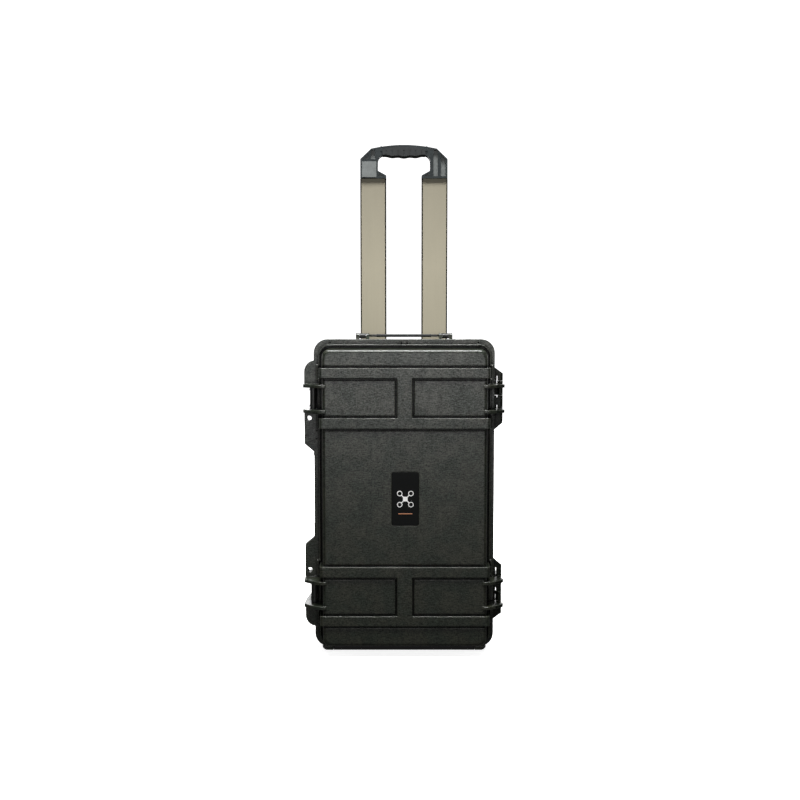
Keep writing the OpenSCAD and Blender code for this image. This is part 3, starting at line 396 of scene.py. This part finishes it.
EDGE_WIDTHS = {
    "base_shell": 0.0, "lid_shell": 0.0, "latch_body": 0.6, "latch_lever": 0.6, "handle_frame": 1.2,
    "handle_grip": 0.8, "trolley_yoke": 0.0, "trolley_grip": 0.8, "trolley_button": 0.6, "trolley_tube": 0.25,
    "label_plate": 0.25, "trolley_cover": 0.5, "trolley_guide": 0.8, "foot_rail": 0.8, "wheel_hub": 0.4,
    "wheel_tyre": 0.5, "valve": 0.4, "trolley_rivets": 0.3, "label_mark": 0.0, "button_spring": 0.0,
}
DEFAULT_EDGE = 0.25


def edge_width(name):
    for key, width in EDGE_WIDTHS.items():
        if key in name:
            return width * MM
    return DEFAULT_EDGE * MM


def round_edges(obj, width):
    """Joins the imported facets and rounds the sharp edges. Without a width, they are only split."""
    weld = obj.modifiers.new("weld", "WELD")
    weld.merge_threshold = 0.00001
    if width:
        flat = obj.modifiers.new("flat_faces", "DECIMATE")
        flat.decimate_type = "DISSOLVE"
        flat.angle_limit = math.radians(0.6)
        bevel = obj.modifiers.new("rounded_edges", "BEVEL")
        bevel.width = width
        bevel.segments = 3
        bevel.limit_method = "ANGLE"
        bevel.angle_limit = math.radians(28)
        bevel.miter_outer = "MITER_ARC"
    else:
        split = obj.modifiers.new("split_edges", "EDGE_SPLIT")
        split.split_angle = math.radians(28)
    shading = obj.modifiers.new("flat_shading", "WEIGHTED_NORMAL")
    shading.mode = "FACE_AREA"
    shading.weight = 100
    obj.data.polygons.foreach_set("use_smooth", [True] * len(obj.data.polygons))


def finish_nodes():
    slots = {s["node"]: s["material_slot"] for s in frame["record"]["subparts"]}
    for name, obj in nodes.items():
        obj.data.materials.clear()
        obj.data.materials.append(MATERIALS[slots[name]])
        round_edges(obj, edge_width(name))


finish_nodes()


# ---- foam ----

FOAM_CORNER = 17.5 * MM
FOAM_EDGE = 1.2 * MM
PAD_NOTCH_X = 104 * MM    # the base pad is cut away outside this, at both sides of its middle
PAD_NOTCH_Z = 62 * MM     # and below this height

def rounded_outline(low, high, radius, steps=8):
    """Corners of a rounded rectangle in x and z, anticlockwise."""
    centres = [(high[0] - radius, high[1] - radius, 0), (low[0] + radius, high[1] - radius, 90),
               (low[0] + radius, low[1] + radius, 180), (high[0] - radius, low[1] + radius, 270)]
    points = []
    for x, z, start in centres:
        for i in range(steps + 1):
            a = math.radians(start + 90 * i / steps)
            points.append((x + radius * math.cos(a), z + radius * math.sin(a)))
    return points


def cut_foam(name, outlines, y_front, y_back, edge):
    """A sheet of foam with holes, its edges slightly rounded. The first outline is the outside."""
    curve = bpy.data.curves.new(name, "CURVE")
    curve.dimensions = "2D"
    curve.fill_mode = "BOTH"
    curve.extrude = (y_back - y_front) / 2 - edge
    curve.bevel_depth = edge
    curve.bevel_resolution = 3
    curve.offset = -edge
    for outline in outlines:
        spline = curve.splines.new("POLY")
        spline.points.add(len(outline) - 1)
        for point, (x, z) in zip(spline.points, outline):
            point.co = (x, z, 0, 1)
        spline.use_cyclic_u = True
    drawn = bpy.data.objects.new(name, curve)
    bpy.context.scene.collection.objects.link(drawn)
    drawn.rotation_euler = (math.radians(90), 0, 0)
    drawn.location = (0, (y_front + y_back) / 2, 0)
    bpy.context.view_layer.update()
    mesh = bpy.data.meshes.new_from_object(drawn.evaluated_get(bpy.context.evaluated_depsgraph_get()))
    mesh.transform(drawn.matrix_world)
    bpy.data.objects.remove(drawn)
    return add_piece(name, mesh)


def add_piece(name, mesh):
    mesh.name = name
    piece = bpy.data.objects.new(name, mesh)
    bpy.context.scene.collection.objects.link(piece)
    for polygon in mesh.polygons:
        polygon.use_smooth = True
    return piece


def egg_crate(name, low, high, radius, pitch=34 * MM, relief=15 * MM, cell=4.25 * MM):
    """Convoluted foam: a flat back at low.y, rounded peaks up to high.y."""
    columns = round((high.x - low.x) / cell)
    rows = round((high.z - low.z) / cell)
    bm = bmesh.new()

    def placed(i, j):
        x = low.x + (high.x - low.x) * i / columns
        z = low.z + (high.z - low.z) * j / rows
        cx = min(max(x, low.x + radius), high.x - radius)
        cz = min(max(z, low.z + radius), high.z - radius)
        reach = math.hypot(x - cx, z - cz)
        if reach > radius:
            x = cx + (x - cx) * radius / reach
            z = cz + (z - cz) * radius / reach
        return x, z

    def height(x, z):
        wave = math.cos(2 * math.pi * x / pitch) * math.cos(2 * math.pi * (z - low.z) / pitch)
        return high.y - relief * (0.5 - 0.5 * wave)

    top, back = {}, {}
    for i in range(columns + 1):
        for j in range(rows + 1):
            x, z = placed(i, j)
            top[i, j] = bm.verts.new((x, height(x, z), z))
            back[i, j] = bm.verts.new((x, low.y, z))
    for i in range(columns):
        for j in range(rows):
            bm.faces.new((top[i, j], top[i, j + 1], top[i + 1, j + 1], top[i + 1, j]))
            bm.faces.new((back[i, j], back[i + 1, j], back[i + 1, j + 1], back[i, j + 1]))
    rim = [(i, 0) for i in range(columns)] + [(columns, j) for j in range(rows)]
    rim += [(i, rows) for i in range(columns, 0, -1)] + [(0, j) for j in range(rows, 0, -1)]
    for here, there in zip(rim, rim[1:] + rim[:1]):
        bm.faces.new((top[here], top[there], back[there], back[here]))
    bmesh.ops.remove_doubles(bm, verts=bm.verts, dist=1e-5)
    bmesh.ops.recalc_face_normals(bm, faces=bm.faces)
    mesh = bpy.data.meshes.new(name)
    bm.to_mesh(mesh)
    bm.free()
    return add_piece(name, mesh)


def foam_piece(piece, body, node):
    piece.data.materials.append(MATERIALS["foam"])
    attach(piece, body)
    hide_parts(node)


# Pockets for the drone, the remote, the charger and three batteries: middle x, middle z, width, height.
POCKETS = [(0, 405, 210, 190), (-38, 232, 150, 108), (88, 232, 62, 108), (-86, 104, 62, 100),
           (0, 104, 62, 100), (86, 104, 62, 100)]


def pocket_outlines(middle):
    """The foam's pockets as drawn in the CAD part; middle is the shell's own x."""
    outlines = []
    for x, z, width, height in POCKETS:
        low = (middle + (x - width / 2) * MM, (z - height / 2) * MM)
        high = (middle + (x + width / 2) * MM, (z + height / 2) * MM)
        outlines.append(rounded_outline(low, high, 12 * MM))
    return outlines


def make_foam():
    low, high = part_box("foam_insert")
    middle = (low.x + high.x) / 2
    outside = rounded_outline((low.x, low.z), (high.x, high.z), FOAM_CORNER)
    foam_piece(cut_foam("foam_insert_cut", [outside] + pocket_outlines(middle), low.y, high.y, FOAM_EDGE),
               "base", "foam_insert")
    low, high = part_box("foam_base_pad")
    outline = [p for p in rounded_outline((low.x, low.z), (high.x, high.z), FOAM_CORNER)
               if p[1] > PAD_NOTCH_Z]
    left = middle - PAD_NOTCH_X
    right = middle + PAD_NOTCH_X
    outline += [(low.x, PAD_NOTCH_Z), (left, PAD_NOTCH_Z), (left, low.z), (right, low.z),
                (right, PAD_NOTCH_Z), (high.x, PAD_NOTCH_Z)]
    foam_piece(cut_foam("foam_base_pad_cut", [outline], low.y, high.y, FOAM_EDGE),
               "base", "foam_base_pad")
    low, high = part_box("lid_foam")
    foam_piece(egg_crate("lid_foam_crate", low, high, FOAM_CORNER), "lid", "lid_foam")


make_foam()


# ---- studio ----

FLOOR_RADIUS = 9.0        # metres
BACKDROP_HEIGHT = 7.0
RIM_POINTS = 64


def bright_paper():
    """White paper, overexposed: only a trace of the case's shadow is left on it."""
    g = Graph("studio_paper")
    distance = g.add("ShaderNodeVectorMath", operation="LENGTH")
    g.link(g.coords, distance.inputs[0])
    far = g.spread(distance.outputs["Value"], 0.86, 1.2, 0.2, 0.6)
    g.link(far, g.shader.inputs["Emission Strength"])
    g.shader.inputs["Emission Color"].default_value = (1, 1, 1, 1)
    return g.set(base_color=(0.86, 0.86, 0.86), roughness=0.9, specular_ior_level=0.1)


def white_surround():
    """A floor disc inside a white drum. Only the camera sees them, so they light nothing."""
    paper = bright_paper()
    rim = [(FLOOR_RADIUS * math.cos(a), FLOOR_RADIUS * math.sin(a))
           for a in (math.radians(360 * i / RIM_POINTS) for i in range(RIM_POINTS))]
    bm = bmesh.new()
    bm.faces.new([bm.verts.new((x, y, 0)) for x, y in rim])
    pieces = [("floor", bm)]
    bm = bmesh.new()
    low = [bm.verts.new((x, y, -0.01)) for x, y in rim]
    high = [bm.verts.new((x, y, BACKDROP_HEIGHT)) for x, y in rim]
    for i in range(RIM_POINTS):
        j = (i + 1) % RIM_POINTS
        bm.faces.new((low[i], high[i], high[j], low[j]))
    bm.faces.new(high)
    pieces.append(("backdrop", bm))
    for name, bm in pieces:
        mesh = bpy.data.meshes.new(name)
        bm.to_mesh(mesh)
        bm.free()
        piece = bpy.data.objects.new(name, mesh)
        piece.data.materials.append(paper)
        bpy.context.scene.collection.objects.link(piece)
        piece.visible_diffuse = False
        piece.visible_glossy = False
        piece.visible_shadow = False


def area_light(name, place, target, size, power):
    data = bpy.data.lights.new(name, "AREA")
    data.shape = "RECTANGLE"
    data.size, data.size_y = size
    data.energy = power
    light = bpy.data.objects.new(name, data)
    light.location = place
    light.rotation_euler = (Vector(target) - Vector(place)).to_track_quat("-Z", "Y").to_euler()
    light.visible_camera = False
    bpy.context.scene.collection.objects.link(light)


def studio():
    white_surround()
    world = bpy.data.worlds.new("studio")
    world.use_nodes = True
    world.node_tree.nodes["Background"].inputs["Color"].default_value = (1, 1, 1, 1)
    world.node_tree.nodes["Background"].inputs["Strength"].default_value = 0.08
    bpy.context.scene.world = world
    area_light("overhead", (0.0, -0.60, 2.60), (0, -0.2, 0.4), (1.8, 0.5), 150)
    area_light("front_fill", (0.0, -4.2, 0.75), (0, 0, 0.4), (2.6, 1.2), 39)
    area_light("rear_fill", (0.0, 4.0, 1.60), (0, 0, 0.5), (2.6, 1.6), 60)
    area_light("left_fill", (-3.6, 0.9, 1.10), (0, 0, 0.4), (1.6, 1.6), 20)
    area_light("right_fill", (3.6, 0.9, 1.10), (0, 0, 0.4), (1.6, 1.6), 20)
    bpy.context.scene.view_settings.view_transform = "Standard"


studio()
